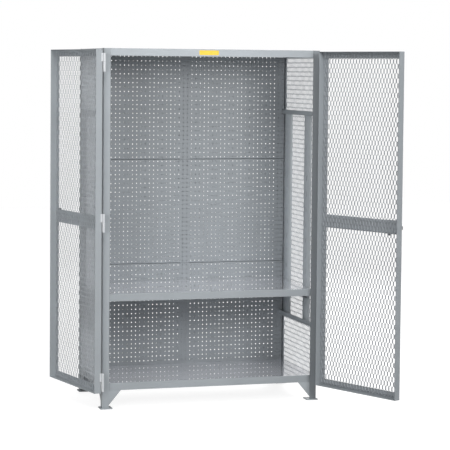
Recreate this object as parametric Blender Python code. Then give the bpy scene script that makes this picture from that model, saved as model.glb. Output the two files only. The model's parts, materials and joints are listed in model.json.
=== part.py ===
# Tool storage locker: a welded steel cabinet with expanded metal sides and doors,
# a perforated back, a bottom shelf and a centre shelf that hangs on slotted uprights.
# Metres, +Z up, +X to the right along the front, +Y to the back.
# The origin is the front left corner of the body, on the floor.

import math

import bmesh
import bpy

for leftover in list(bpy.data.objects):
    bpy.data.objects.remove(leftover, do_unlink=True)

# Body
width = 1.2446
depth = 0.6096
height = 1.9812
weld_gap = 0.0003
cut_overrun = 0.002

# Corner posts of angle iron
post_leg = 0.0381
rear_post_leg = 0.0635
post_wall = 0.003

# Foot plates with an anchor hole
foot_size = 0.066
foot_wall = 0.0064
foot_overhang = 0.009
anchor_radius = 0.0067
anchor_inset = 0.024

# Bent gussets under the bottom shelf
gusset_wall = 0.003
gusset_reach = 0.0686
gusset_low = 0.0203

# Roof and shelf pans
pan_wall = 0.0019
pan_flange = 0.0405
roof_rear_flange = 0.0262
bottom_shelf_top = 0.1422
centre_shelf_top = 0.6342

# Perforated back: three flanged panels and the stiffener between their halves
panel_wall = 0.0015
panel_depth = 0.0286
panel_side_gap = 0.0073
panel_lap = 0.0165
seam_gap = 0.0015
stiffener_width = 0.0508
stiffener_wall = 0.0019

# Expanded metal, drawn here with a coarse diamond
sheet_wall = 0.0018
diamond_width = 0.112
diamond_height = 0.224
strand_width = 0.011

# Side frames that carry the centre shelf
crossbar_wall = 0.003
crossbar_height = 0.0254
upper_crossbar_leg = 0.0191
lower_crossbar_leg = 0.0318
upper_crossbar_drop = 0.3442
lower_crossbar_top = 0.444
upright_width = 0.0813
upright_wall = 0.0019
front_upright_inset = 0.1016
rear_upright_inset = 0.0521
slot_width = 0.0095
slot_height = 0.0286
slot_pitch = 0.0889
clip_wall = 0.003
clip_length = 0.0635
clip_ledge = 0.013
clip_drop = 0.0254

# Doors: a mitred angle iron frame with a middle rail
door_front_gap = 0.0032
door_centre_gap = 0.006
door_bottom = 0.0965
door_top_drop = 0.0064
door_leg = 0.0381
door_wall = 0.003
mitre_gap = 0.0005
middle_rail_centre = 1.0287
middle_rail_height = 0.0737
door_sheet_inset = 0.0076
left_open_angle = math.radians(258)
right_open_angle = math.radians(114)

# Barrel hinges
barrel_radius = 0.0072
barrel_clearance = 0.0007
pin_radius = 0.0035
pin_clearance = 0.0003
leaf_wall = 0.003
body_leaf_lap = 0.03
door_leaf_lap = 0.008
body_knuckle = 0.0546
door_knuckle = 0.0465
top_hinge_drop = 0.0737
bottom_hinge_rise = 0.0645

# Slide bolt across the middle rails
latch_plate_wall = 0.0025
guide_length = 0.0889
guide_height = 0.0762
guide_setback = 0.039
staple_length = 0.0127
staple_wall = 0.003
bolt_height = 0.019
bolt_wall = 0.008
bolt_length = 0.16
bolt_clearance = 0.0006
bolt_setback = 0.004
handle_width = 0.0178
handle_gap = 0.001
handle_reach = 0.0485
handle_wall = 0.004
keeper_length = 0.06
keeper_height = 0.0762
keeper_setback = 0.0045
keeper_rise = 0.0052

# The back's panels from the lowest up
BACK_PANELS = ("lower_back_panel", "middle_back_panel", "upper_back_panel")

# Places that several pieces share, measured from the cabinet's centre plane
half_width = width / 2
sheet_face = half_width - post_wall - weld_gap
pan_half = sheet_face - sheet_wall - weld_gap
front_face = post_wall + weld_gap
back_face = depth - post_wall - weld_gap
panel_face = back_face - panel_depth
shelf_back = panel_face - weld_gap
bottom_flange_low = bottom_shelf_top - pan_flange
panel_top = height - roof_rear_flange - weld_gap
panel_bottom = bottom_shelf_top - panel_lap
panel_pitch = (panel_top - panel_bottom) / len(BACK_PANELS)
upright_face = pan_half - upper_crossbar_leg + crossbar_wall + weld_gap
shelf_half = upright_face - weld_gap
centre_flange_low = centre_shelf_top - pan_flange
upper_crossbar_top = height - upper_crossbar_drop

# Places on a door, measured from its hinge axis when closed: across to the free edge,
# outward to the front, and up from the floor
axis_offset = barrel_radius + barrel_clearance
axis_front = door_front_gap + door_leg + axis_offset
door_edge = axis_offset
door_free_edge = half_width + axis_offset - door_centre_gap / 2
door_outer = -axis_offset
door_inner = door_outer - door_leg
door_top = height - door_top_drop
rail_low = middle_rail_centre - middle_rail_height / 2
rail_high = middle_rail_centre + middle_rail_height / 2
hinge_low = door_bottom + bottom_hinge_rise
hinge_high = height - top_hinge_drop
hinge_heights = {"lower": hinge_low, "middle": (hinge_low + hinge_high) / 2, "upper": hinge_high}

# Enamel shades: colour, roughness, metallic
ENAMEL = ((0.40, 0.43, 0.46, 1.0), 0.38, 0.0)
DOOR_ENAMEL = ((0.37, 0.40, 0.43, 1.0), 0.38, 0.0)
BACK_ENAMEL = ((0.33, 0.36, 0.39, 1.0), 0.42, 0.0)
PLATED = ((0.55, 0.56, 0.57, 1.0), 0.32, 0.9)


def make_material(name, look):
    """Give a piece its own paint or metal."""
    colour, roughness, metallic = look
    material = bpy.data.materials.new(name)
    material.use_nodes = True
    shader = material.node_tree.nodes["Principled BSDF"]
    shader.inputs["Base Color"].default_value = colour
    shader.inputs["Roughness"].default_value = roughness
    shader.inputs["Metallic"].default_value = metallic
    return material


def empty(name, location, parent=None, turn=0):
    """A frame to hang pieces on."""
    frame = bpy.data.objects.new(name, None)
    frame.location = location
    frame.rotation_euler = (0, 0, turn)
    frame.parent = parent
    bpy.context.scene.collection.objects.link(frame)
    return frame


def solid(name, points, faces, parent, look=None):
    """One closed body from corner points and the faces between them."""
    mesh = bpy.data.meshes.new(name)
    mesh.from_pydata(points, [], faces)
    shell = bmesh.new()
    shell.from_mesh(mesh)
    bmesh.ops.recalc_face_normals(shell, faces=shell.faces)
    shell.to_mesh(mesh)
    shell.free()
    piece = bpy.data.objects.new(name, mesh)
    piece.parent = parent
    bpy.context.scene.collection.objects.link(piece)
    if look is None:
        piece.hide_render = True
        piece.display_type = 'WIRE'
    else:
        mesh.materials.append(make_material(name, look))
    return piece


def prism_points(outline, low, high, along):
    """Corners of an outline pushed from low to high along X, Y or Z."""
    order = {"X": lambda a, b, c: (c, a, b), "Y": lambda a, b, c: (a, c, b), "Z": lambda a, b, c: (a, b, c)}
    place = order[along]
    return [place(a, b, low) for a, b in outline] + [place(a, b, high) for a, b in outline]


def prism_faces(count, first=0):
    """Two ends and the sides of a prism whose outline has that many corners."""
    ends = [[first + i for i in range(count)], [first + count + i for i in range(count)]]
    sides = []
    for i in range(count):
        j = (i + 1) % count
        sides.append([first + i, first + j, first + count + j, first + count + i])
    return ends + sides


def prism(name, outline, low, high, along, parent, look=None):
    """An outline pushed straight along one axis."""
    return solid(name, prism_points(outline, low, high, along), prism_faces(len(outline)), parent, look)


def rectangle(low_a, low_b, high_a, high_b):
    """The four corners of a rectangle."""
    return [(low_a, low_b), (high_a, low_b), (high_a, high_b), (low_a, high_b)]


def box(name, low, high, parent, look=None):
    """A plain block between two opposite corners."""
    outline = rectangle(low[0], low[1], high[0], high[1])
    return prism(name, outline, low[2], high[2], "Z", parent, look)


def circle(centre_a, centre_b, radius, sides, start=0.0, sweep=math.tau):
    """Points round a circle, or along an arc of it with both ends."""
    steps = sides if sweep == math.tau else sides - 1
    points = []
    for i in range(sides):
        angle = start + sweep * i / steps
        points.append((centre_a + radius * math.cos(angle), centre_b + radius * math.sin(angle)))
    return points


def combine(piece, tool, operation):
    """Cut the tool out of a piece, or add it."""
    modifier = piece.modifiers.new(tool.name, 'BOOLEAN')
    modifier.operation = operation
    modifier.solver = 'EXACT'
    modifier.object = tool


def tray(name, low, high, wall, open_side, parent, look):
    """A folded pan: a sheet with four flanges, open below or to the back."""
    inner_low = [low[0] + wall, low[1] + wall, low[2] + wall]
    inner_high = [high[0] - wall, high[1] - wall, high[2] - wall]
    if open_side == "below":
        inner_low[2] = low[2]
    else:
        inner_high[1] = high[1]
    points = prism_points(rectangle(low[0], low[1], high[0], high[1]), low[2], high[2], "Z")
    inner = rectangle(inner_low[0], inner_low[1], inner_high[0], inner_high[1])
    points += prism_points(inner, inner_low[2], inner_high[2], "Z")
    faces = prism_faces(4) + prism_faces(4, first=8)
    mouth = {"below": (0, [0, 1, 2, 3]), "back": (4, [3, 2, 6, 7])}[open_side]
    skipped, rim = mouth
    faces = [face for i, face in enumerate(faces) if i not in (skipped, skipped + 6)]
    for i in range(4):
        a, b = rim[i], rim[(i + 1) % 4]
        faces.append([a, b, b + 8, a + 8])
    return solid(name, points, faces, parent, look)


def angle_outline(corner, leg_a, leg_b, wall, way_a=1, way_b=1):
    """The L of an angle iron, from its outer corner."""
    shape = [(0, 0), (leg_a, 0), (leg_a, wall), (wall, wall), (wall, leg_b), (0, leg_b)]
    return [(corner[0] + way_a * a, corner[1] + way_b * b) for a, b in shape]


def channel_outline(low_a, high_a, web_b, toe_b, wall):
    """The C of a channel: its web at web_b and its toes at toe_b."""
    way = 1 if toe_b > web_b else -1
    inside = web_b + way * wall
    return [(low_a, web_b), (high_a, web_b), (high_a, toe_b), (high_a - wall, toe_b),
            (high_a - wall, inside), (low_a + wall, inside), (low_a + wall, toe_b), (low_a, toe_b)]


def diamonds(low_a, low_b, high_a, high_b):
    """The openings of expanded metal in a rectangle, with half openings along its edges."""
    columns = max(1, round((high_a - low_a) / diamond_width))
    rows = max(1, round((high_b - low_b) / diamond_height))
    step_a = (high_a - low_a) / columns
    step_b = (high_b - low_b) / rows
    reach_a = step_a / 2 - strand_width / 2
    reach_b = reach_a * step_b / step_a
    openings = []
    for i in range(2 * columns + 1):
        for j in range(2 * rows + 1):
            if (i + j) % 2 == 0:
                continue
            centre_a = low_a + i * step_a / 2
            centre_b = low_b + j * step_b / 2
            tips = [(reach_a, 0), (0, reach_b), (-reach_a, 0), (0, -reach_b)]
            if i == 0:
                tips = [(reach_a, 0), (0, reach_b), (0, -reach_b)]
            if i == 2 * columns:
                tips = [(0, reach_b), (-reach_a, 0), (0, -reach_b)]
            if j == 0:
                tips = [(reach_a, 0), (0, reach_b), (-reach_a, 0)]
            if j == 2 * rows:
                tips = [(reach_a, 0), (-reach_a, 0), (0, -reach_b)]
            openings.append([(centre_a + a, centre_b + b) for a, b in tips])
    return openings


def punch(piece, outlines, low, high, along, parent):
    """Cut a set of straight openings through a sheet."""
    points = []
    faces = []
    for outline in outlines:
        faces += prism_faces(len(outline), first=len(points))
        points += prism_points(outline, low - cut_overrun, high + cut_overrun, along)
    combine(piece, solid(piece.name + "_openings", points, faces, parent), 'DIFFERENCE')


def corners():
    """Name, side and end of the four corners: side -1 is left, end 1 is the back."""
    for end_name, end in (("front", -1), ("rear", 1)):
        for side_name, side in (("left", -1), ("right", 1)):
            yield end_name + "_" + side_name, side, end


def posts_and_feet(cabinet):
    """Four angle iron posts, each on a foot plate with an anchor hole."""
    for name, side, end in corners():
        corner = (side * half_width, depth if end > 0 else 0)
        front_leg = rear_post_leg if end > 0 else post_leg
        outline = angle_outline(corner, front_leg, post_leg, post_wall, -side, -end)
        prism(name + "_post", outline, foot_wall + weld_gap, height, "Z", cabinet, ENAMEL)
        outer = (corner[0] + side * foot_overhang, corner[1] + end * foot_overhang)
        inner = (outer[0] - side * foot_size, outer[1] - end * foot_size)
        plate = rectangle(min(outer[0], inner[0]), min(outer[1], inner[1]),
                          max(outer[0], inner[0]), max(outer[1], inner[1]))
        foot = prism(name + "_foot_plate", plate, 0, foot_wall, "Z", cabinet, ENAMEL)
        hole = circle(corner[0] - side * anchor_inset, corner[1] - end * anchor_inset, anchor_radius, 16)
        punch(foot, [hole], 0, foot_wall, "Z", cabinet)


def gussets(cabinet):
    """A bent plate in each corner, from the post out to the bottom shelf's flange."""
    top = bottom_flange_low - weld_gap
    inside = post_wall + weld_gap
    thick = inside + gusset_wall
    for name, side, end in corners():
        leg_x = rear_post_leg if end > 0 else post_leg
        plan = [(inside, inside, gusset_low, top), (leg_x, inside, gusset_low, None),
                (leg_x + gusset_reach, inside, None, top), (inside, post_leg, gusset_low, None),
                (inside, post_leg + gusset_reach, None, top), (thick, thick, gusset_low, top),
                (leg_x, thick, gusset_low, None), (leg_x + gusset_reach, thick, None, top),
                (thick, post_leg, gusset_low, None), (thick, post_leg + gusset_reach, None, top)]
        points = []
        index = {}
        for number, (a, b, low, high) in enumerate(plan):
            x = side * (half_width - a)
            y = depth - b if end > 0 else b
            for level, z in (("low", low), ("high", high)):
                if z is not None:
                    index[number, level] = len(points)
                    points.append((x, y, z))
        corner_low, corner_high = index[0, "low"], index[0, "high"]
        toe_x, tip_x = index[1, "low"], index[2, "high"]
        toe_y, tip_y = index[3, "low"], index[4, "high"]
        bend_low, bend_high = index[5, "low"], index[5, "high"]
        back_toe_x, back_tip_x = index[6, "low"], index[7, "high"]
        back_toe_y, back_tip_y = index[8, "low"], index[9, "high"]
        faces = [[corner_low, toe_x, tip_x, corner_high], [corner_low, corner_high, tip_y, toe_y],
                 [bend_low, bend_high, back_tip_x, back_toe_x], [bend_low, back_toe_y, back_tip_y, bend_high],
                 [corner_low, toe_y, back_toe_y, bend_low, back_toe_x, toe_x],
                 [corner_high, tip_x, back_tip_x, bend_high, back_tip_y, tip_y],
                 [toe_x, back_toe_x, back_tip_x, tip_x], [toe_y, tip_y, back_tip_y, back_toe_y]]
        solid(name + "_gusset", points, faces, cabinet, ENAMEL)


def roof_and_shelves(cabinet):
    """The roof, the bottom shelf and the centre shelf are flanged pans."""
    roof = tray("roof_pan", (-pan_half, front_face, height - pan_flange), (pan_half, back_face, height),
                pan_wall, "below", cabinet, ENAMEL)
    notch = box("roof_rear_notch", (pan_wall - pan_half, back_face - pan_wall - cut_overrun,
                                    height - pan_flange - cut_overrun),
                (pan_half - pan_wall, back_face + cut_overrun, height - roof_rear_flange), cabinet)
    combine(roof, notch, 'DIFFERENCE')
    tray("bottom_shelf", (-pan_half, front_face, bottom_flange_low), (pan_half, shelf_back, bottom_shelf_top),
         pan_wall, "below", cabinet, ENAMEL)
    tray("centre_shelf", (-shelf_half, front_face, centre_flange_low), (shelf_half, shelf_back, centre_shelf_top),
         pan_wall, "below", cabinet, ENAMEL)


def back(cabinet):
    """Three flanged panels one above the other, and a channel up the middle with its toes on them."""
    notch_half = stiffener_width / 2 + weld_gap
    notch = box("stiffener_notch", (-notch_half, panel_face + panel_wall, panel_bottom - cut_overrun),
                (notch_half, back_face + cut_overrun, panel_top + cut_overrun), cabinet)
    panel_half = pan_half - panel_side_gap
    for row, name in enumerate(BACK_PANELS):
        low = panel_bottom + row * panel_pitch
        high = low + panel_pitch
        if name != BACK_PANELS[-1]:
            high -= seam_gap
        panel = tray(name, (-panel_half, panel_face, low), (panel_half, back_face, high),
                     panel_wall, "back", cabinet, BACK_ENAMEL)
        combine(panel, notch, 'DIFFERENCE')
    toes = panel_face + panel_wall + weld_gap
    outline = channel_outline(-stiffener_width / 2, stiffener_width / 2, back_face, toes, stiffener_wall)
    prism("back_stiffener", outline, panel_bottom, panel_top, "Z", cabinet, BACK_ENAMEL)


def side_walls(cabinet):
    """A sheet of expanded metal inside each pair of posts."""
    for side_name, side in (("left", -1), ("right", 1)):
        near, far = sorted((side * sheet_face, side * (sheet_face - sheet_wall)))
        sheet = box(side_name + "_side_sheet", (near, front_face, bottom_flange_low),
                    (far, back_face, height - pan_wall), cabinet, ENAMEL)
        openings = diamonds(post_leg, bottom_shelf_top, depth - post_leg, height - pan_flange)
        punch(sheet, openings, near, far, "X", cabinet)


def side_frames(cabinet):
    """On each side two crossbars, two slotted uprights between them and two shelf clips."""
    lower_low = lower_crossbar_top - crossbar_height
    upright_low = lower_low + crossbar_wall + weld_gap
    upright_high = upper_crossbar_top - crossbar_wall - weld_gap
    slot_count = int((upright_high - upright_low - slot_pitch) / slot_pitch)
    first_slot = (upright_low + upright_high - (slot_count - 1) * slot_pitch) / 2
    clip_top = centre_flange_low - weld_gap
    upright_ys = {"front": front_face + front_upright_inset,
                  "rear": shelf_back - rear_upright_inset - upright_width}
    for side_name, side in (("left", -1), ("right", 1)):
        corner = (side * (pan_half - upper_crossbar_leg), upper_crossbar_top)
        outline = angle_outline(corner, upper_crossbar_leg, crossbar_height, crossbar_wall, side, -1)
        prism(side_name + "_upper_crossbar", outline, front_face, shelf_back, "Y", cabinet, ENAMEL)
        corner = (side * (pan_half - lower_crossbar_leg), lower_low)
        outline = angle_outline(corner, lower_crossbar_leg, crossbar_height, crossbar_wall, side, 1)
        prism(side_name + "_lower_crossbar", outline, front_face, shelf_back, "Y", cabinet, ENAMEL)
        for end_name, y in upright_ys.items():
            name = side_name + "_" + end_name
            outline = channel_outline(y, y + upright_width, side * upright_face, side * pan_half, upright_wall)
            plan = [(across, along) for along, across in outline]
            upright = prism(name + "_upright", plan, upright_low, upright_high, "Z", cabinet, ENAMEL)
            middle = y + upright_width / 2
            slots = []
            for i in range(slot_count):
                z = first_slot + i * slot_pitch
                slots.append(rectangle(middle - slot_width / 2, z - slot_height / 2,
                                       middle + slot_width / 2, z + slot_height / 2))
            near, far = sorted((side * upright_face, side * (upright_face + upright_wall)))
            punch(upright, slots, near, far, "X", cabinet)
            corner = (side * shelf_half, clip_top)
            outline = angle_outline(corner, clip_wall + clip_ledge, clip_drop, clip_wall, -side, -1)
            prism(name + "_shelf_clip", outline, middle - clip_length / 2, middle + clip_length / 2,
                  "Y", cabinet, PLATED)


def door_point(side, across, outward, up):
    """A place on a door in its hinge frame."""
    return (-side * across, -outward, up)


def door_member(name, side, edge, run_low, run_high, upright, inward, parent):
    """A mitred angle iron along one edge of a door; inward points to the door's middle."""
    profile = [(0, door_inner), (door_wall, door_inner), (door_wall, door_outer - door_wall),
               (door_leg, door_outer - door_wall), (door_leg, door_outer), (0, door_outer)]
    points = []
    for end in (run_low, run_high):
        for from_edge, outward in profile:
            shrink = from_edge if end == run_low else -from_edge
            if not upright:
                shrink += mitre_gap if end == run_low else -mitre_gap
            run = end + shrink
            place = edge + inward * from_edge
            across, up = (place, run) if upright else (run, place)
            points.append(door_point(side, across, outward, up))
    return solid(name, points, prism_faces(len(profile)), parent, DOOR_ENAMEL)


def door_leaf(side_name, side, hinge):
    """Frame, middle rail and expanded metal of one door."""
    members = {"hinge_stile": (door_edge, door_bottom, door_top, True, 1),
               "free_stile": (door_free_edge, door_bottom, door_top, True, -1),
               "bottom_rail": (door_bottom, door_edge, door_free_edge, False, 1),
               "top_rail": (door_top, door_edge, door_free_edge, False, -1)}
    for name, (edge, run_low, run_high, upright, inward) in members.items():
        door_member(side_name + "_door_" + name, side, edge, run_low, run_high, upright, inward, hinge)
    clear_low = door_edge + door_leg
    clear_high = door_free_edge - door_leg
    rail_ends = sorted((-side * (clear_low + weld_gap), -side * (clear_high - weld_gap)))
    box(side_name + "_door_middle_rail", (rail_ends[0], -door_outer, rail_low),
        (rail_ends[1], door_wall - door_outer, rail_high), hinge, DOOR_ENAMEL)
    margin = door_wall + door_sheet_inset
    sheet_ends = sorted((-side * (door_edge + margin), -side * (door_free_edge - margin)))
    sheet_outer = door_wall - door_outer + weld_gap
    sheet = box(side_name + "_door_sheet", (sheet_ends[0], sheet_outer, door_bottom + margin),
                (sheet_ends[1], sheet_outer + sheet_wall, door_top - margin), hinge, DOOR_ENAMEL)
    zone = sorted((-side * clear_low, -side * clear_high))
    openings = diamonds(zone[0], door_bottom + door_leg, zone[1], door_top - door_leg)
    punch(sheet, openings, sheet_outer, sheet_outer + sheet_wall, "Y", hinge)


def hinge_outline(side, leaf_length):
    """Plan of a knuckle with its leaf, round the hinge axis: the leaf runs to the back."""
    leaf_outer = leaf_wall + weld_gap - axis_offset
    start = math.acos(leaf_outer / barrel_radius)
    arc = circle(0, 0, barrel_radius, 14, start, -start - math.pi)
    leaf = [(weld_gap - axis_offset, 0), (weld_gap - axis_offset, leaf_length), (leaf_outer, leaf_length)]
    return [(side * x, y) for x, y in arc + leaf]


def hinges(side_name, side, cabinet, hinge):
    """Three lift-off hinges: a knuckle with a pin on the post and a knuckle on the door."""
    axis_x = side * (half_width + axis_offset)
    for level, z in hinge_heights.items():
        name = side_name + "_" + level
        outline = hinge_outline(side, axis_front + body_leaf_lap)
        outline = [(axis_x + x, y - axis_front) for x, y in outline]
        body_half = prism(name + "_hinge_body_half", outline, z - body_knuckle, z - weld_gap, "Z", cabinet, ENAMEL)
        pin = prism(name + "_hinge_pin_core", circle(axis_x, -axis_front, pin_radius, 12),
                    z - body_knuckle / 2, z + door_knuckle, "Z", cabinet)
        combine(body_half, pin, 'UNION')
        outline = hinge_outline(side, axis_offset + door_leaf_lap)
        door_half = prism(name + "_hinge_door_half", outline, z + weld_gap, z + door_knuckle, "Z", hinge, ENAMEL)
        punch(door_half, [circle(0, 0, pin_radius + pin_clearance, 12)], z, z + door_knuckle, "Z", hinge)


def staple_outline(plate_top, centre):
    """Section of a staple that the bolt slides through, standing on its plate."""
    half = bolt_height / 2 + bolt_clearance
    rise = bolt_wall + 2 * bolt_clearance
    foot = plate_top - latch_plate_wall / 2
    return [(-foot, centre - half - staple_wall), (-plate_top - rise - staple_wall, centre - half - staple_wall),
            (-plate_top - rise - staple_wall, centre + half + staple_wall), (-foot, centre + half + staple_wall),
            (-foot, centre + half), (-plate_top - rise, centre + half),
            (-plate_top - rise, centre - half), (-foot, centre - half)]


def latch_plate(name, side, low, high, plate_low, plate_high, staple_places, hinge):
    """A plate on a door's outer face with staples for the bolt."""
    seat = door_outer + weld_gap
    plate_top = seat + latch_plate_wall
    ends = sorted((-side * low, -side * high))
    plate = box(name, (ends[0], -plate_top, plate_low), (ends[1], -seat, plate_high), hinge, PLATED)
    for number, place in enumerate(staple_places):
        run = sorted((-side * place, -side * (place + staple_length)))
        staple = prism(name + "_staple_" + str(number), staple_outline(plate_top, middle_rail_centre),
                       run[0], run[1], "X", hinge)
        combine(plate, staple, 'UNION')
    return plate_top


def latch(left_hinge, right_hinge):
    """A slide bolt in two staples on the right door, and its keeper on the left door."""
    guide_high = door_free_edge - guide_setback
    guide_low = guide_high - guide_length
    staple_places = (guide_low, guide_high - staple_length)
    plate_top = latch_plate("bolt_guide", 1, guide_low, guide_high, middle_rail_centre - guide_height / 2,
                            middle_rail_centre + guide_height / 2, staple_places, right_hinge)
    bolt_end = door_free_edge - bolt_setback
    bolt_inner = plate_top + bolt_clearance
    slide = empty("slide_bolt_frame", (-bolt_end, -bolt_inner, middle_rail_centre), right_hinge)
    bolt = box("slide_bolt", (0, -bolt_wall, -bolt_height / 2),
               (bolt_length, 0, bolt_height / 2), slide, PLATED)
    handle_end = bolt_end - guide_low - staple_length - handle_gap
    handle = box("bolt_handle_core", (handle_end - handle_width, -bolt_wall, -handle_reach),
                 (handle_end, handle_wall - bolt_wall, bolt_height / 4), slide)
    combine(bolt, handle, 'UNION')
    keeper_high = door_free_edge - keeper_setback
    keeper_low = keeper_high - keeper_length
    latch_plate("bolt_keeper", -1, keeper_low, keeper_high, middle_rail_centre + keeper_rise - keeper_height / 2,
                middle_rail_centre + keeper_rise + keeper_height / 2, (keeper_high - staple_length,), left_hinge)


def main():
    """Build the locker with its doors standing open."""
    cabinet = empty("cabinet_frame", (half_width, 0, 0))
    posts_and_feet(cabinet)
    gussets(cabinet)
    roof_and_shelves(cabinet)
    back(cabinet)
    side_walls(cabinet)
    side_frames(cabinet)
    door_frames = {}
    for side_name, side, opened in (("left", -1, left_open_angle), ("right", 1, right_open_angle)):
        place = (side * (half_width + axis_offset), -axis_front, 0)
        hinge = empty(side_name + "_door_hinge_axis", place, cabinet, side * opened)
        door_leaf(side_name, side, hinge)
        hinges(side_name, side, cabinet, hinge)
        door_frames[side_name] = hinge
    latch(door_frames["left"], door_frames["right"])


main()
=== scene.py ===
# %% [markdown]
# # Dressing a tool storage locker
#
# The locker is a welded steel cabinet with expanded metal sides and doors, a perforated back,
# two shelves and a slide bolt. Its plain solids are already packed, so this lesson gives every
# one of them its real surface: holes and strands at their true pitch, rounded bends and enamel.
# All sizes are in metres, +X runs to the right along the front and +Y to the back.

import json
import math

import bmesh
import bpy
from mathutils import Matrix, Vector


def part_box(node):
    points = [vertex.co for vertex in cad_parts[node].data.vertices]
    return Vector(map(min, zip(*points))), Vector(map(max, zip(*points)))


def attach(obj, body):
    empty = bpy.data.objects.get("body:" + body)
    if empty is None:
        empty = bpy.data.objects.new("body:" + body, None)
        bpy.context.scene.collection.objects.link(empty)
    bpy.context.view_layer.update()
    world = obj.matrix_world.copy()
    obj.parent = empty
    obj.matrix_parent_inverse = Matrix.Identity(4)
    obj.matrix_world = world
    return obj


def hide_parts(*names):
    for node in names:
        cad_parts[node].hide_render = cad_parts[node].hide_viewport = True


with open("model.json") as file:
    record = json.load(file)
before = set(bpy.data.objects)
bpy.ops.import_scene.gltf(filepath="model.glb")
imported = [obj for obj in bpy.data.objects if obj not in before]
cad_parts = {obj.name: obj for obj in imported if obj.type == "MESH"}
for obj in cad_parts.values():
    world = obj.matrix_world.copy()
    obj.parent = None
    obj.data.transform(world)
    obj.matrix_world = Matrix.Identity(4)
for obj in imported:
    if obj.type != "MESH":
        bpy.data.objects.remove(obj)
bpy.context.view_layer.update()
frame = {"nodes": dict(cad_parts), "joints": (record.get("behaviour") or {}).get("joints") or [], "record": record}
slot_of = {entry["node"]: entry["material_slot"] for entry in frame["record"]["subparts"]}
body_of = {node: body for body, nodes in frame["record"]["behaviour"]["bodies"].items()
           for node in nodes}

# %% [markdown]
# ## The camera
#
# The camera stands to the left of the locker and looks along its front with a long lens. The
# upright edges stay nearly parallel in the picture, which a small vertical shift of the lens
# gives, as on an architect's camera.

# %% Place the camera
camera_data = bpy.data.cameras.new("camera")
camera_data.sensor_width = 36
camera_data.lens = 144.233
camera_data.shift_x = -0.0002
camera_data.shift_y = -0.11556
camera = bpy.data.objects.new("camera", camera_data)
camera.location = (-2.19184, -9.58982, 1.86284)
camera.rotation_euler = [math.radians(angle) for angle in (86.75726, -0.52722, -16.71518)]
bpy.context.scene.collection.objects.link(camera)
bpy.context.scene.camera = camera
bpy.context.scene.view_settings.view_transform = 'Standard'
print("lens", camera_data.lens, "mm")

# %% [markdown]
# ## Enamel
#
# The whole locker is sprayed with a semi-gloss grey enamel and baked. Such a coat is never
# perfectly even: its tone drifts a little over a hand's breadth, its gloss drifts too, and up
# close it has a fine orange peel. Three noise textures on Object coordinates give these, so the
# pattern stays put when a door swings. The coats are all a cool grey and differ in gloss, and
# lighter and darker copies of the one enamel paint light and shade: painted light on the roof,
# the uprights, the left door, the strands and the shelf tops, a painted highlight on the hinges,
# and painted shade on the right post, the right door, its mesh and the back panels. The shelf
# tops are the palest, a painted light, and the glossiest, so they mirror the holes of the back.

# %% Helpers for node trees
def join(tree, source, target):
    """Link an output socket to an input socket."""
    tree.links.new(source, target)


def noise(tree, coordinates, scale, detail):
    """Fractal noise at a scale in features for each metre."""
    texture = tree.nodes.new("ShaderNodeTexNoise")
    texture.inputs["Scale"].default_value = scale
    texture.inputs["Detail"].default_value = detail
    join(tree, coordinates, texture.inputs["Vector"])
    return texture.outputs["Fac"]


noise_low, noise_high = 0.3, 0.7
# Places of a colour mix's sockets, which share their names with those of other kinds of mix.
mix_factor, mix_first, mix_second, mix_result = 0, 6, 7, 2


def spread(tree, value, low, high):
    """Stretch a noise over a range from low to high."""
    stretch = tree.nodes.new("ShaderNodeMapRange")
    stretch.inputs["From Min"].default_value = noise_low
    stretch.inputs["From Max"].default_value = noise_high
    stretch.inputs["To Min"].default_value = low
    stretch.inputs["To Max"].default_value = high
    join(tree, value, stretch.inputs["Value"])
    return stretch.outputs["Result"]


def tinted(tree, value, colour, change):
    """A colour that grows lighter and darker with a value from 0 to 1."""
    mix = tree.nodes.new("ShaderNodeMix")
    mix.data_type = 'RGBA'
    mix.inputs[mix_first].default_value = [c * (1 - change) for c in colour] + [1]
    mix.inputs[mix_second].default_value = [min(1, c * (1 + change)) for c in colour] + [1]
    join(tree, value, mix.inputs[mix_factor])
    return mix.outputs[mix_result]


# %% Enamel, plated steel and the label's vinyl
tone_scale, tone_detail = 5, 3
gloss_scale, gloss_detail = 11, 4
peel_detail = 2
peel_strength = 0.6


def coat(name, colour, roughness, metallic=0.0, change=0.03, sway=0.04, peel=0.00004,
         peel_scale=420, shine=0.25, glaze=0.0):
    """A painted or plated surface with drifting tone and gloss and a fine bump.

    The tone changes by a share, the roughness sways both ways, and the peel is a height."""
    material = bpy.data.materials.new(name)
    material.use_nodes = True
    tree = material.node_tree
    shader = tree.nodes["Principled BSDF"]
    shader.inputs["Metallic"].default_value = metallic
    shader.inputs["Specular IOR Level"].default_value = shine
    shader.inputs["Coat Weight"].default_value = glaze
    place = tree.nodes.new("ShaderNodeTexCoord").outputs["Object"]
    drift = spread(tree, noise(tree, place, tone_scale, tone_detail), 0, 1)
    join(tree, tinted(tree, drift, colour, change), shader.inputs["Base Color"])
    gloss = spread(tree, noise(tree, place, gloss_scale, gloss_detail),
                   roughness - sway, roughness + sway)
    join(tree, gloss, shader.inputs["Roughness"])
    bump = tree.nodes.new("ShaderNodeBump")
    bump.inputs["Distance"].default_value = peel
    bump.inputs["Strength"].default_value = peel_strength
    join(tree, noise(tree, place, peel_scale, peel_detail), bump.inputs["Height"])
    join(tree, bump.outputs["Normal"], shader.inputs["Normal"])
    return material


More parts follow.
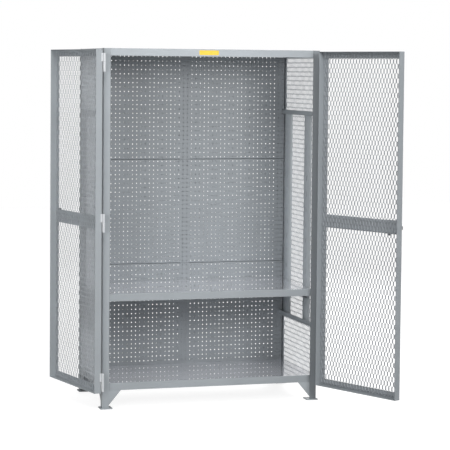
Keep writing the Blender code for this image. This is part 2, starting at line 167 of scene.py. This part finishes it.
enamel = coat("cabinet_enamel", (0.357, 0.385, 0.407), 0.44, shine=0.12)
# Painted shade: the right front post gets a darker copy of the enamel, as if the open right door shaded it.
post_enamel = coat("post_enamel", (0.235, 0.254, 0.27), 0.44, shine=0.1)
# Painted light: the uprights get a lighter copy of the enamel.
rail_enamel = coat("rail_enamel", (0.46, 0.495, 0.52), 0.38, shine=0.15)
# Painted light: the left door's rails and free stile get a lighter copy of the enamel.
left_door_enamel = coat("left_door_enamel", (0.47, 0.505, 0.53), 0.38, shine=0.15)
# Painted shade: the right door's frame gets a darker copy of the enamel, as its inner face is turned from the
# light.
door_enamel = coat("door_enamel", (0.3, 0.324, 0.344), 0.38, shine=0.12)
# Painted highlight: the hinges get a much lighter copy of the enamel, which stands for the bright highlights on
# their knuckles.
hinge_enamel = coat("hinge_enamel", (0.62, 0.64, 0.66), 0.2)
# Painted light: the roof pan gets a lighter copy of the enamel.
roof_enamel = coat("roof_enamel", (0.437, 0.47, 0.497), 0.4, shine=0.12)
# Painted light: the shelf tops get a near-white copy of the enamel, as if lit from above; its gloss and metal are
# real.
worktop_enamel = coat("worktop_enamel", (0.80, 0.81, 0.86), 0.02, metallic=0.27, sway=0.005,
                      peel=0.000001, shine=0.8, glaze=1.0)
# Painted shade: the perforated back gets a darker copy of the enamel, for the shade inside the cabinet.
back_enamel = coat("back_enamel", (0.288, 0.31, 0.329), 0.33)
# Painted light and shade: the strands get a lighter copy of the enamel, and the right door's strands the shaded
# copy below.
strand_enamel = coat("strand_enamel", (0.49, 0.52, 0.552), 0.26)
shaded_enamel = coat("shaded_enamel", (0.292, 0.312, 0.336), 0.26)
plated = coat("plated_steel", (0.17, 0.175, 0.18), 0.38, metallic=0.8, change=0.06,
              peel=0.00003, peel_scale=900)
vinyl = coat("label_vinyl", (0.80, 0.56, 0.03), 0.3, change=0.02)
finish = {"enamel": enamel, "door_enamel": door_enamel, "back_enamel": back_enamel,
          "plated_steel": plated}
print("finishes:", sorted(finish))

# %% [markdown]
# ## Putting pieces on the locker
#
# A finished piece is one plain mesh whose object sits at the origin. It rides on a body of the
# locker and stands for the solids that it replaces.

# %% Helpers for pieces
def new_piece(name, mesh, material=None):
    """An object at the origin that shows a mesh."""
    piece = bpy.data.objects.new(name, mesh)
    bpy.context.scene.collection.objects.link(piece)
    if material is not None:
        mesh.materials.clear()
        mesh.materials.append(material)
    return piece


def from_shape(name, shape, material):
    """Turn an edit mesh into a piece."""
    mesh = bpy.data.meshes.new(name)
    shape.to_mesh(mesh)
    shape.free()
    return new_piece(name, mesh, material)


def made_plain(piece):
    """Put the result of a piece's modifiers into its mesh."""
    bpy.context.view_layer.update()
    graph = bpy.context.evaluated_depsgraph_get()
    mesh = bpy.data.meshes.new_from_object(piece.evaluated_get(graph),
                                           preserve_all_data_layers=True, depsgraph=graph)
    piece.modifiers.clear()
    piece.data = mesh
    mesh.name = piece.name
    return piece


def fitted(piece, body, slot, *nodes):
    """Let a piece ride on a body in place of some solids."""
    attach(piece, body)
    if nodes:
        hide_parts(*nodes)
    return piece


def triangles(piece):
    """How many triangles a mesh has."""
    return sum(len(face.vertices) - 2 for face in piece.data.polygons)


# %% [markdown]
# ## Rounded bends and broken edges
#
# Bent sheet has a round bend where two faces meet, and its cut edges are only slightly
# broken. A razor-sharp corner catches no light and gives a computer model away. So each plain
# solid is copied, its triangles are merged into whole faces, and its corners are bevelled:
# wide where two broad faces meet, narrow at the sheet's rim. Weighted normals keep the broad
# faces looking flat beside their round corners.

# %% A softened copy of a plain solid
same_point = 0.00002
flat_angle = math.radians(1)
corner_angle = math.radians(30)
bend_steps = 4
broad_share = 3


def breadth(face):
    """About how wide a long face is."""
    return face.calc_area() / max(edge.calc_length() for edge in face.edges)


def softened(node, bend, rim, material=None):
    """Replace a plain solid by a copy with round bends and broken edges."""
    shape = bmesh.new()
    shape.from_mesh(frame["nodes"][node].data)
    bmesh.ops.remove_doubles(shape, verts=shape.verts, dist=same_point)
    bmesh.ops.dissolve_limit(shape, angle_limit=flat_angle, verts=shape.verts, edges=shape.edges)
    corners = [edge for edge in shape.edges
               if edge.is_manifold and edge.calc_face_angle() > corner_angle]
    broad = [edge for edge in corners
             if min(breadth(face) for face in edge.link_faces) > broad_share * bend]
    narrow = [edge for edge in corners if edge not in set(broad)]
    rounding = {"profile": 0.5, "affect": 'EDGES', "clamp_overlap": True}
    bmesh.ops.bevel(shape, geom=narrow, offset=rim, segments=1, **rounding)
    broad = [edge for edge in broad if edge.is_valid]
    bmesh.ops.bevel(shape, geom=broad, offset=bend, segments=bend_steps, **rounding)
    for face in shape.faces:
        face.smooth = True
    piece = from_shape(node + "_dressed", shape, material or finish[slot_of[node]])
    normals = piece.modifiers.new("flat faces", 'WEIGHTED_NORMAL')
    normals.keep_sharp = True
    return fitted(made_plain(piece), body_of[node], slot_of[node], node)


# %% Posts, feet, gussets, pans, side frames, door frames and latch
# Name endings, the width of a bend, that of a broken edge, and the coat if not the slot's own.
dressings = [(("_post", "_crossbar", "_gusset"), 0.0018, 0.0005, enamel),
             (("_foot_plate", "_shelf_clip", "back_stiffener"), 0.0008, 0.0005, None),
             (("roof_pan", "bottom_shelf", "centre_shelf"), 0.0024, 0.0004, enamel),
             (("_upright",), 0.0016, 0.0004, rail_enamel),
             # The door frames take the darker door coat, a painted shade; the left door's parts get other coats
             # below.
             (("_stile", "_rail"), 0.0014, 0.0005, door_enamel),
             (("bolt_guide", "bolt_keeper", "slide_bolt"), 0.0012, 0.0006, None)]
# Painted light and shade on single parts: the right post's darker coat is painted shade, and the roof's and the
# left door's lighter coats are painted light.
coat_of = {"front_right_post": post_enamel, "roof_pan": roof_enamel,
           "left_door_hinge_stile": enamel}
for part in ("free_stile", "top_rail", "middle_rail", "bottom_rail"):
    coat_of["left_door_" + part] = left_door_enamel
upward = 0.98
for node in frame["nodes"]:
    for endings, bend, rim, material in dressings:
        if not node.endswith(endings):
            continue
        piece = softened(node, bend, rim, coat_of.get(node, material))
        # Painted light: faces of a shelf that look up get the palest, glossiest coat.
        if node.endswith("_shelf"):
            piece.data.materials.append(worktop_enamel)
            for face in piece.data.polygons:
                face.material_index = int(face.normal.z > upward)

# %% [markdown]
# ## Places on the doors
#
# A door is easiest to draw shut, in a frame on its own hinge axis, and then to turn to where it
# stands. The axes are the joints' own.

# %% Turn a mesh from a shut door to the open one
door_side = {"left": -1, "right": 1}
open_angle = {"left": math.radians(258), "right": math.radians(114)}
hinge_axis = {}
for joint in frame["joints"]:
    for side in door_side:
        if joint["child"] == side + "_door":
            hinge_axis[side] = Vector((joint["pos_m"][0], joint["pos_m"][1], 0))
door_place = {side: Matrix.Translation(hinge_axis[side])
              @ Matrix.Rotation(door_side[side] * open_angle[side], 4, 'Z') for side in door_side}
print({side: [round(c, 4) for c in hinge_axis[side]] for side in hinge_axis})

# %% [markdown]
# ## Expanded metal
#
# The sides and doors are steel sheet that was slit and pulled open, which leaves tall diamonds,
# about 0.92 inch wide and 2 inches high on the doors. Every crossing is alike, so the smallest
# piece that repeats is one crossing with four half strands. Geometry Nodes set a copy on each
# point of two staggered grids and merge their ends. The strands stand askew to the sheet, as
# the press leaves them, so the sheet looks more open from one side than from the other.

# %% One crossing of the expanded metal
mesh_across = 0.0234
mesh_up = 0.0521
bond_width = 0.0044
bond_rise = 0.0064
bond_tip = 0.002
strand_width = 0.0026
strand_wall = 0.0022
strand_bend = Vector((0.0026, 0.0098))
bend_lean, end_lean = 60, 44


def crossing(name, tilt, pitch):
    """A bond with its four half strands, flat in XY but askew by the tilt.

    The widths are those of a sheet with a tilt of 1. One that is less askew looks wider."""
    half_bond = bond_width / 2 * math.sqrt(2 / (1 + tilt * tilt))
    end = Vector((pitch / 4, mesh_up / 4))
    bend_depth = half_bond / 2 * (end.y - strand_bend.y) / (end.y - bond_rise)
    squeeze = half_bond / strand_width
    shape = bmesh.new()

    def corner(x, y, middle, depth):
        return shape.verts.new((x, y, tilt * (x - middle + depth)))

    core = {}
    for sx in (-1, 1):
        for sy in (-1, 1):
            core[sx, sy] = corner(sx * half_bond, sy * bond_rise, 0, 0)
    tip = {sy: corner(0, sy * (bond_rise + bond_tip), 0, 0) for sy in (-1, 1)}
    shape.faces.new([core[-1, -1], tip[-1], core[1, -1], core[1, 1], tip[1], core[-1, 1]])
    for sx in (-1, 1):
        for sy in (-1, 1):
            rows = []
            for middle, lean, depth in ((strand_bend, bend_lean, bend_depth), (end, end_lean, 0)):
                across = math.sin(math.radians(lean)) * strand_width / 2 * squeeze
                along = math.cos(math.radians(lean)) * strand_width / 2
                rows.append([corner(sx * (middle.x + way * across), sy * (middle.y - way * along),
                                    sx * middle.x, sx * depth) for way in (1, -1)])
            loops = [[core[sx, sy], rows[0][0], rows[0][1], tip[sy]],
                     [rows[0][0], rows[1][0], rows[1][1], rows[0][1]]]
            for loop in loops:
                shape.faces.new(loop if sx * sy > 0 else loop[::-1])
    piece = from_shape(name, shape, None)
    piece.hide_render = True
    return piece


print("diamonds", mesh_across, "by", mesh_up)

# %% [markdown]
# The node group has named inputs for the pitch and the counts. Each input is set on the
# modifier by its socket's identifier, before the object is first evaluated.

# %% Node group: copies on two staggered grids
merge_distance = 0.00005


def new_group(name, inputs):
    """A geometry node group with named inputs and one geometry output."""
    group = bpy.data.node_groups.new(name, 'GeometryNodeTree')
    group.interface.new_socket("Geometry", in_out='INPUT', socket_type='NodeSocketGeometry')
    for label, kind in inputs:
        group.interface.new_socket(label, in_out='INPUT', socket_type='NodeSocket' + kind)
    group.interface.new_socket("Geometry", in_out='OUTPUT', socket_type='NodeSocketGeometry')
    return group, group.nodes.new("NodeGroupInput"), group.nodes.new("NodeGroupOutput")


def math_node(group, operation, first, second):
    """One sum in a node tree; each term is a socket or a number."""
    node = group.nodes.new("ShaderNodeMath")
    node.operation = operation
    for i, term in enumerate((first, second)):
        if isinstance(term, (int, float)):
            node.inputs[i].default_value = term
        else:
            join(group, term, node.inputs[i])
    return node.outputs[0]


def grid_of_points(group, start, columns, rows):
    """A flat grid of points with the pitch of the group's inputs."""
    grid = group.nodes.new("GeometryNodeMeshGrid")
    join(group, math_node(group, 'MULTIPLY', start.outputs["Pitch Across"],
                          math_node(group, 'SUBTRACT', columns, 1)), grid.inputs["Size X"])
    join(group, math_node(group, 'MULTIPLY', start.outputs["Pitch Up"],
                          math_node(group, 'SUBTRACT', rows, 1)), grid.inputs["Size Y"])
    join(group, columns, grid.inputs["Vertices X"])
    join(group, rows, grid.inputs["Vertices Y"])
    return grid.outputs["Mesh"]


def finish_copies(group, start, end, points):
    """Set the repeated piece on points, make it real, merge it and give it its material."""
    copied = group.nodes.new("GeometryNodeObjectInfo")
    copies = group.nodes.new("GeometryNodeInstanceOnPoints")
    real = group.nodes.new("GeometryNodeRealizeInstances")
    merged = group.nodes.new("GeometryNodeMergeByDistance")
    painted = group.nodes.new("GeometryNodeSetMaterial")
    join(group, start.outputs["Piece"], copied.inputs["Object"])
    join(group, points, copies.inputs["Points"])
    join(group, copied.outputs["Geometry"], copies.inputs["Instance"])
    join(group, copies.outputs["Instances"], real.inputs["Geometry"])
    join(group, real.outputs["Geometry"], merged.inputs["Geometry"])
    merged.inputs["Distance"].default_value = merge_distance
    join(group, merged.outputs["Geometry"], painted.inputs["Geometry"])
    join(group, start.outputs["Material"], painted.inputs["Material"])
    join(group, painted.outputs["Geometry"], end.inputs["Geometry"])


grid_inputs = [("Piece", "Object"), ("Pitch Across", "Float"), ("Pitch Up", "Float"),
               ("Columns", "Int"), ("Rows", "Int"), ("Material", "Material")]
staggered, start, end = new_group("staggered_copies", grid_inputs)
even = grid_of_points(staggered, start, start.outputs["Columns"], start.outputs["Rows"])
odd = grid_of_points(staggered, start,
                     math_node(staggered, 'SUBTRACT', start.outputs["Columns"], 1),
                     math_node(staggered, 'SUBTRACT', start.outputs["Rows"], 1))
both = staggered.nodes.new("GeometryNodeJoinGeometry")
join(staggered, even, both.inputs["Geometry"])
join(staggered, odd, both.inputs["Geometry"])
finish_copies(staggered, start, end, both.outputs["Geometry"])


def copied_by(group, name, values):
    """Run a node group with named values and keep the result as a plain mesh."""
    piece = new_piece(name, bpy.data.meshes.new(name))
    modifier = piece.modifiers.new("copies", 'NODES')
    modifier.node_group = group
    for socket in group.interface.items_tree:
        if socket.in_out == 'INPUT' and socket.name in values:
            modifier[socket.identifier] = values[socket.name]
    return made_plain(piece)


print("inputs of the staggered copies:", [label for label, kind in grid_inputs])

# %% [markdown]
# The sheet is cut along its four borders with straight cuts, so its rim is as ragged as the
# real one, and only then given its thickness. Solidify closes the cut ends by itself.

# %% Cut a patterned sheet to size and thicken it
cut_tolerance = 0.000001
spare_copies = 3


def cut_and_thickened(piece, low, high, wall, offset, place):
    """Trim a flat patterned mesh to a rectangle, thicken it and put it in place."""
    shape = bmesh.new()
    shape.from_mesh(piece.data)
    for axis in (0, 1):
        for limit, way in ((low[axis], -1), (high[axis], 1)):
            at = Vector((0, 0, 0))
            at[axis] = limit
            outward = Vector((0, 0, 0))
            outward[axis] = way
            bmesh.ops.bisect_plane(shape, geom=shape.verts[:] + shape.edges[:] + shape.faces[:],
                                   dist=cut_tolerance, plane_co=at, plane_no=outward,
                                   clear_outer=True)
    shape.to_mesh(piece.data)
    shape.free()
    wall_maker = piece.modifiers.new("wall", 'SOLIDIFY')
    wall_maker.thickness = wall
    wall_maker.offset = offset
    made_plain(piece)
    piece.data.transform(place)


def expanded_sheet(name, node, width, height, tilt, place, material, pitch=mesh_across,
                   phase=(0, 0), wall=strand_wall):
    """An expanded metal sheet centred on a place, instead of a plain one."""
    unit = crossing(name + "_unit", tilt, pitch)
    columns = 2 * math.ceil(width / pitch / 2) + spare_copies
    rows = 2 * math.ceil(height / mesh_up / 2) + spare_copies
    values = {"Piece": unit, "Pitch Across": pitch, "Pitch Up": mesh_up,
              "Columns": columns, "Rows": rows, "Material": material}
    piece = copied_by(staggered, name, values)
    bpy.data.objects.remove(unit, do_unlink=True)
    piece.data.transform(Matrix.Translation((phase[0], phase[1], 0)))
    cut_and_thickened(piece, (-width / 2, -height / 2), (width / 2, height / 2), wall, 0, place)
    fitted(piece, body_of[node], slot_of[node], node)
    print(name, "triangles:", triangles(piece))


# %% [markdown]
# A door's sheet fits inside the door's angle frame. It is drawn on the shut door and turned
# with it. The strands of the two doors are askew in opposite ways.

# %% Expanded metal of the doors
press_tilt = 1.0
across_to_x = Matrix(((1, 0, 0, 0), (0, 0, -1, 0), (0, 1, 0, 0), (0, 0, 0, 1)))
door_low, door_high = 0.0185, 0.6166
sheet_bottom, sheet_top = 0.1071, 1.9642
mesh_seat = 0.0112
mesh_depth = 0.0052
# Painted light and shade: the left door's mesh takes the lighter strand coat, the right door's the shaded one.
for side, sign in door_side.items():
    middle = Vector((-sign * (door_low + door_high) / 2, mesh_seat + mesh_depth / 2,
                     (sheet_bottom + sheet_top) / 2))
    expanded_sheet(side + "_door_mesh", side + "_door_sheet",
                   door_high - door_low, sheet_top - sheet_bottom, -sign * press_tilt,
                   door_place[side] @ Matrix.Translation(middle) @ across_to_x,
                   strand_enamel if side == "left" else shaded_enamel)

# %% [markdown]
# The side walls' sheet lies flatter, and it is a little thinner and closer. Seen from the
# front, at a flat angle, it then shows clean level stripes, as the real walls do.

# %% Expanded metal of the side walls
side_tilt = 0.1
side_across = 0.0208
side_wall = 0.002
along_to_y = Matrix(((0, 0, 1, 0), (1, 0, 0, 0), (0, 1, 0, 0), (0, 0, 0, 1)))
# The side walls take the lighter strand coat, a painted light.
for side, sign in door_side.items():
    low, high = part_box(side + "_side_sheet")
    middle = (low + high) / 2
    expanded_sheet(side + "_side_mesh", side + "_side_sheet", high.y - low.y, high.z - low.z,
                   sign * side_tilt, Matrix.Translation(middle) @ along_to_y, strand_enamel,
                   side_across, wall=side_wall)

# %% [markdown]
# ## The perforated back
#
# Three folded panels close the back. Each has quarter-inch holes an inch apart, 24 rows of 48.
# The smallest piece that repeats is a square inch of sheet round one hole. Its outer border has
# a point for each point of the hole, so that neighbours merge without a gap.

# %% A square of sheet round one hole
hole_pitch = 0.0254
hole_radius = 0.0032
hole_points = 16
hole_columns, hole_rows = 48, 24


def holed_square(name):
    """A flat square with a round hole in its middle."""
    shape = bmesh.new()
    rings = []
    for i in range(hole_points):
        angle = math.tau * i / hole_points
        x, y = math.cos(angle), math.sin(angle)
        reach = hole_pitch / 2 / max(abs(x), abs(y))
        rings.append((shape.verts.new((x * hole_radius, y * hole_radius, 0)),
                      shape.verts.new((x * reach, y * reach, 0))))
    for i in range(hole_points):
        inner, outer = rings[i]
        next_inner, next_outer = rings[(i + 1) % hole_points]
        shape.faces.new([inner, outer, next_outer, next_inner])
    piece = from_shape(name, shape, None)
    piece.hide_render = True
    return piece


gridded, start, end = new_group("gridded_copies", grid_inputs)
finish_copies(gridded, start, end,
              grid_of_points(gridded, start, start.outputs["Columns"], start.outputs["Rows"]))
print("holes", 2 * hole_radius, "wide,", hole_pitch, "apart")

# %% [markdown]
# A panel's four edges are folded back over a round bend. One outline of the bend and its flange
# is pushed along each edge, which keeps the wall even all the way. The upper and the lower
# flange are cut away where the channel stands behind the panels' middle. A thin lip at the
# rear closes the seam to the panel above.

# %% Folded edge of a panel
panel_wall = 0.0015
bend_radius = 0.0042
arc_steps = 6


def block(shape, low, high):
    """Add a plain block between two corners."""
    made = bmesh.ops.create_cube(shape, size=1)
    for vert in made["verts"]:
        vert.co = Vector([low[i] if vert.co[i] < 0 else high[i] for i in range(3)])


def bent_edge(shape, section, low, high):
    """Push the section of a bent edge along the panel, from one run to another."""
    rings = [[shape.verts.new(place(run)) for place in section] for run in (low, high)]
    count = len(section)
    shape.faces.new(rings[0])
    shape.faces.new(rings[1])
    for i in range(count):
        j = (i + 1) % count
        shape.faces.new([rings[0][i], rings[0][j], rings[1][j], rings[1][i]])


def bent_section(edge, way, front, rear, upright):
    """Section of a panel's edge and of the flange behind it, each point a function of the run."""
    outline = []
    step = math.pi / (2 * arc_steps)
    outer_turns, inner_turns = range(arc_steps + 1), range(arc_steps, -1, -1)
    for radius, turns in ((bend_radius, outer_turns), (bend_radius - panel_wall, inner_turns)):
        arc = [(edge - way * (bend_radius - radius * math.sin(step * i)),
                front + bend_radius - radius * math.cos(step * i)) for i in turns]
        rim = (edge - way * (bend_radius - radius), rear)
        outline += arc + [rim] if radius == bend_radius else [rim] + arc
    if upright:
        return [lambda run, a=a, b=b: (a, b, run) for a, b in outline]
    return [lambda run, a=a, b=b: (run, b, a) for a, b in outline]


print("bend radius", bend_radius, "wall", panel_wall)

# %% Panels with holes and folded flanges
seam_gap = 0.0015
seam_lip = 0.001
seam_clearance = 0.0001
stiffener_gap = 0.0003
crease_angle = math.radians(35)
stiffener_low, stiffener_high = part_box("back_stiffener")
left_end, right_end = stiffener_low.x - stiffener_gap, stiffener_high.x + stiffener_gap
levels = ("lower", "middle", "upper")
unit = holed_square("holed_square")
for level in levels:
    node = level + "_back_panel"
    low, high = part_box(node)
    centre = Vector(((low.x + high.x) / 2, low.y, low.z + hole_rows / 2 * hole_pitch))
    # The panels take the darker back coat, a painted shade.
    values = {"Piece": unit, "Pitch Across": hole_pitch, "Pitch Up": hole_pitch,
              "Columns": hole_columns, "Rows": hole_rows, "Material": back_enamel}
    piece = copied_by(gridded, level + "_back_holes", values)
    cut_and_thickened(piece, (low.x - centre.x + bend_radius, low.z - centre.z + bend_radius),
                      (high.x - centre.x - bend_radius, high.z - centre.z - bend_radius),
                      panel_wall, -1, Matrix.Translation(centre) @ across_to_x)
    fitted(piece, body_of[node], slot_of[node], node)
    shape = bmesh.new()
    for edge, way in ((low.z, -1), (high.z, 1)):
        section = bent_section(edge, way, low.y, high.y, False)
        bent_edge(shape, section, low.x, left_end)
        bent_edge(shape, section, right_end, high.x)
        flat = sorted((edge, edge - way * bend_radius))
        block(shape, (left_end, low.y, flat[0]), (right_end, low.y + panel_wall, flat[1]))
    for edge, way in ((low.x, -1), (high.x, 1)):
        section = bent_section(edge, way, low.y, high.y, True)
        bent_edge(shape, section, low.z + bend_radius, high.z - bend_radius)
    if level != levels[-1]:
        seam_top = high.z + seam_gap - seam_clearance
        block(shape, (low.x, high.y - seam_lip, high.z), (high.x, high.y, seam_top))
    bmesh.ops.recalc_face_normals(shape, faces=shape.faces)
    flanges = from_shape(level + "_back_flanges", shape, back_enamel)
    flanges.data.shade_smooth()
    flanges.data.set_sharp_from_angle(angle=crease_angle)
    fitted(flanges, body_of[node], slot_of[node], node)
    print(level, "panel triangles:", triangles(piece))
bpy.data.objects.remove(unit, do_unlink=True)

# %% [markdown]
# The back of the locker is expanded metal too, behind the perforated panels. From the front its
# strands cross some of the holes, so bright and dim holes alternate in a slow beat between the
# inch of the holes and the pitch of the metal. Each half of a panel has its own sheet, set into
# the panel's hollow. All the sheets follow one pattern, which starts at one point.

# %% Expanded metal behind the panels
back_pitch = 0.02274
back_start = (0.62518, 1.5103)
back_seat = 0.0036
back_side_gap, back_end_gap = 0.0005, 0.001
# The back sheets take the lighter strand coat, a painted light.
for level in levels:
    node = level + "_back_panel"
    low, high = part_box(node)
    for side, near, far in (("left", low.x + panel_wall, stiffener_low.x),
                            ("right", stiffener_high.x, high.x - panel_wall)):
        near, far = near + back_side_gap, far - back_side_gap
        middle = Vector(((near + far) / 2, high.y - back_seat, (low.z + high.z) / 2))
        phase = [(back_start[0] - middle.x + back_pitch / 2) % back_pitch - back_pitch / 2,
                 (back_start[1] - middle.z + mesh_up / 2) % mesh_up - mesh_up / 2]
        expanded_sheet(level + "_" + side + "_back_mesh", node, far - near,
                       high.z - low.z - 2 * panel_wall - back_end_gap, press_tilt,
                       Matrix.Translation(middle) @ across_to_x, strand_enamel, back_pitch, phase)

# %% [markdown]
# ## Hinges
#
# Each door hangs on three lift-off hinges. A hinge is a knuckle rolled from the end of its
# leaf, so both come from one outline: most of a circle round the axis, and a straight leaf that
# leaves it and lies flat on the post or on the door's stile. It is pushed up along the axis.

# %% A hinge half as a pushed outline
barrel_radius = 0.0072
axis_offset = 0.0079
leaf_wall = 0.003
weld_gap = 0.0003
knuckle_steps = 32
knuckle_rim = 0.0006
rim_angle = math.radians(60)


def knuckle_outline(sign, leaf_length):
    """Plan of a knuckle and its leaf round the axis."""
    leaf_outer = leaf_wall + weld_gap - axis_offset
    begin = math.acos(leaf_outer / barrel_radius)
    points = []
    for i in range(knuckle_steps + 1):
        angle = begin - (begin + math.pi) * i / knuckle_steps
        points.append((barrel_radius * math.cos(angle), barrel_radius * math.sin(angle)))
    points += [(weld_gap - axis_offset, 0), (weld_gap - axis_offset, leaf_length),
               (leaf_outer, leaf_length)]
    return [(sign * x, y) for x, y in points]


def pushed(shape, outline, low, high):
    """Add an outline pushed from one height to another."""
    bottom = [shape.verts.new((x, y, low)) for x, y in outline]
    top = [shape.verts.new((x, y, high)) for x, y in outline]
    shape.faces.new(bottom)
    shape.faces.new(top)
    for i in range(len(outline)):
        j = (i + 1) % len(outline)
        shape.faces.new([bottom[i], bottom[j], top[j], top[i]])
    bmesh.ops.recalc_face_normals(shape, faces=shape.faces)


def hinge_piece(node, outline, low, high, place):
    """A hinge half with broken edges, in place of its plain solid."""
    shape = bmesh.new()
    pushed(shape, outline, low, high)
    rims = [edge for edge in shape.edges if edge.calc_face_angle() > rim_angle]
    bmesh.ops.bevel(shape, geom=rims, offset=knuckle_rim, segments=2, profile=0.5,
                    affect='EDGES', clamp_overlap=True)
    for face in shape.faces:
        face.smooth = True
    piece = from_shape(node + "_rolled", shape, hinge_enamel)
    piece.modifiers.new("flat faces", 'WEIGHTED_NORMAL')
    made_plain(piece)
    piece.data.transform(place)
    fitted(piece, body_of[node], slot_of[node], node)


print("knuckle radius", barrel_radius, "leaf wall", leaf_wall)

# %% A turned pin
pin_radius = 0.0035
pin_points = 20
# Inset and drop of each ring of the pin's end, below the top of its knuckle.
pin_rings = [(0.0006, 0.004), (0, 0.0036), (0, 0.0007), (0.0007, 0)]
end_angle = math.radians(40)


def turned(name, profile, centre, material, points):
    """A round piece from (radius, height) pairs, closed at both ends, round a vertical axis."""
    shape = bmesh.new()
    rings = []
    for radius, height in profile:
        rings.append([shape.verts.new((centre.x + radius * math.cos(math.tau * i / points),
                                       centre.y + radius * math.sin(math.tau * i / points), height))
                      for i in range(points)])
    for lower, upper in zip(rings, rings[1:]):
        for i in range(points):
            j = (i + 1) % points
            shape.faces.new([lower[i], lower[j], upper[j], upper[i]])
    shape.faces.new(rings[0][::-1])
    shape.faces.new(rings[-1])
    for face in shape.faces:
        face.smooth = len(face.verts) == 4
    piece = from_shape(name, shape, material)
    piece.data.set_sharp_from_angle(angle=end_angle)
    return piece


print("pin radius", pin_radius)

# %% Hang the hinges
door_leaf, body_leaf = 0.008, 0.03
heights = []
for side, sign in door_side.items():
    axis = hinge_axis[side]
    for level in levels:
        name = side + "_" + level + "_hinge"
        low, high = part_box(name + "_door_half")
        body_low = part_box(name + "_body_half")[0]
        hinge_piece(name + "_door_half", knuckle_outline(sign, axis_offset + door_leaf),
                    low.z, high.z, door_place[side])
        hinge_piece(name + "_body_half", knuckle_outline(sign, -axis.y + body_leaf),
                    body_low.z, low.z - 2 * weld_gap, Matrix.Translation(axis))
        profile = [(pin_radius - inset, high.z - drop) for inset, drop in pin_rings]
        pin = turned(name + "_pin", profile, axis, hinge_enamel, pin_points)
        fitted(pin, "cabinet", "enamel")
        heights.append(round(low.z, 3))
print("hinges dressed at", heights)

# %% [markdown]
# ## The blank label
#
# A yellow vinyl label sits in the middle of the header. It is left without any word.

# %% A blank label
label_half, label_low, label_high = 0.056, 1.949, 1.975
label_shift = 0.026
label_film = 0.0002
label_corner = 0.004
roof_low, roof_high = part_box("roof_pan")
shape = bmesh.new()
made = bmesh.ops.create_grid(shape, x_segments=1, y_segments=1, size=1)
for vert in made["verts"]:
    x = 0.5 * (roof_low.x + roof_high.x) - label_shift + math.copysign(label_half, vert.co.x)
    vert.co = Vector((x, roof_low.y - label_film / 2, label_low if vert.co.y < 0 else label_high))
bmesh.ops.bevel(shape, geom=shape.verts[:], offset=label_corner, segments=4, profile=0.5,
                affect='VERTICES')
label = from_shape("blank_label", shape, vinyl)
skin = label.modifiers.new("film", 'SOLIDIFY')
skin.thickness = label_film
skin.offset = 0
fitted(made_plain(label), "cabinet", "enamel")
print("label", 2 * label_half, "by", label_high - label_low)

# %% [markdown]
# ## Floor, background and light
#
# The floor and the background are pale. The world is a plain grey light, but a ray from the
# camera or a mirror-like reflection sees it white. The floor glows for those rays alone, and
# still shows the locker's shadow. Broad lamps stand in for soft boxes.

# %% Floor
floor_reach = 14
floor_bounce, floor_seen, floor_glow = 0.4, 0.25, 0.87
floor_roughness = 0.7
shape = bmesh.new()
bmesh.ops.create_grid(shape, x_segments=1, y_segments=1, size=floor_reach)
floor_paint = bpy.data.materials.new("studio_floor")
floor_paint.use_nodes = True
tree = floor_paint.node_tree
shader = tree.nodes["Principled BSDF"]
shader.inputs["Roughness"].default_value = floor_roughness
rays = tree.nodes.new("ShaderNodeLightPath")
paint = tree.nodes.new("ShaderNodeMix")
paint.data_type = 'RGBA'
paint.inputs[mix_first].default_value = (floor_bounce, floor_bounce, floor_bounce, 1)
paint.inputs[mix_second].default_value = (floor_seen, floor_seen, floor_seen, 1)
join(tree, rays.outputs["Is Camera Ray"], paint.inputs[mix_factor])
join(tree, paint.outputs[mix_result], shader.inputs["Base Color"])
seen = math_node(tree, 'MAXIMUM', rays.outputs["Is Camera Ray"], rays.outputs["Is Glossy Ray"])
shader.inputs["Emission Color"].default_value = (1, 1, 1, 1)
join(tree, math_node(tree, 'MULTIPLY', seen, floor_glow), shader.inputs["Emission Strength"])
floor = from_shape("studio_floor", shape, floor_paint)
print("floor", 2 * floor_reach, "m wide")

# %% World
world_light, world_white = 0.14, 1.0
world = bpy.data.worlds.new("studio")
bpy.context.scene.world = world
world.use_nodes = True
tree = world.node_tree
tree.nodes.clear()
rays = tree.nodes.new("ShaderNodeLightPath")
plain = math_node(tree, 'MAXIMUM', rays.outputs["Is Camera Ray"], rays.outputs["Is Glossy Ray"])
plain = math_node(tree, 'MAXIMUM', plain, rays.outputs["Is Transmission Ray"])
light = tree.nodes.new("ShaderNodeBackground")
light.inputs["Color"].default_value = (1, 1, 1, 1)
light.inputs["Strength"].default_value = world_light
white = tree.nodes.new("ShaderNodeBackground")
white.inputs["Color"].default_value = (1, 1, 1, 1)
white.inputs["Strength"].default_value = world_white
mix = tree.nodes.new("ShaderNodeMixShader")
join(tree, plain, mix.inputs[0])
join(tree, light.outputs[0], mix.inputs[1])
join(tree, white.outputs[0], mix.inputs[2])
output = tree.nodes.new("ShaderNodeOutputWorld")
join(tree, mix.outputs[0], output.inputs["Surface"])
print("world light", world_light, "seen as", world_white)


# %% Soft boxes
def soft_box(name, place, target, size, power):
    """A square lamp that faces a target, with its size in metres and its power in watts."""
    data = bpy.data.lights.new(name, 'AREA')
    data.size = size
    data.energy = power
    lamp = bpy.data.objects.new(name, data)
    lamp.location = place
    lamp.rotation_euler = (Vector(target) - Vector(place)).to_track_quat('-Z', 'Y').to_euler()
    bpy.context.scene.collection.objects.link(lamp)


locker_middle = (0.62, 0.2, 1.0)
soft_box("high_box", (-0.4, -3.8, 5.2), locker_middle, 2.6, 125)
soft_box("front_box", (2.4, -5.2, 3.0), locker_middle, 1.8, 150)
soft_box("left_box", (-3.6, -5.0, 2.1), locker_middle, 2.2, 130)
soft_box("rear_box", (3.4, 5.6, 3.0), locker_middle, 2.4, 90)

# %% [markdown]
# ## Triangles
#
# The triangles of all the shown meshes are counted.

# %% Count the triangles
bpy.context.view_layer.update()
shown = [o for o in bpy.data.objects if o.type == 'MESH' and not o.hide_render]
print("triangles in all:", sum(triangles(o) for o in shown))
